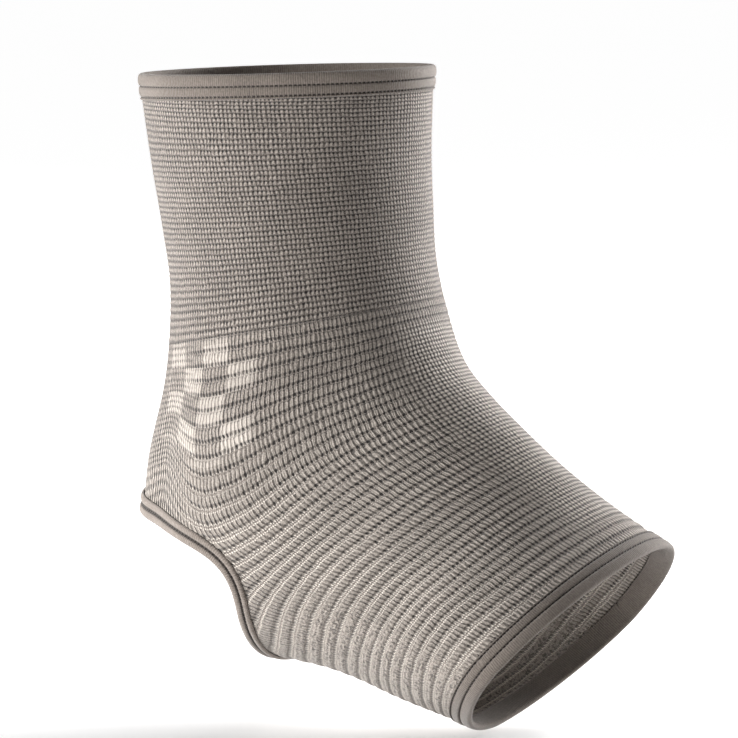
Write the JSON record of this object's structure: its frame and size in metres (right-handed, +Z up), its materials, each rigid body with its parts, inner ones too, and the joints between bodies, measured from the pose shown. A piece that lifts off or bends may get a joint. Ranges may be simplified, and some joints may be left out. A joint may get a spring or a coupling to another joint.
{
  "type": "knitted ankle brace",
  "caption": "Knitted elastic compression sleeve for a right ankle, open at the toes and at the heel, with folded hems and a bound heel opening.",
  "frame": {"origin": "the centre of the ankle, between the two ankle bones, where the brace is worn", "axes": "+Z up the leg, +X towards the toes, +Y towards the inner side of the right leg"},
  "size_m": [0.1586, 0.0888, 0.187],
  "materials": {
    "knit": "warm taupe elastic knit, matt, with paler raised stitches",
    "hem": "plain folded knit, a little darker, with two rows of stitches",
    "binding": "soft folded edge binding, matt"
  },
  "bodies": {
    "root": {"knit_sleeve": "knit", "top_hem": "hem", "foot_hem": "hem", "heel_binding": "binding"}
  },
  "joints": []
}
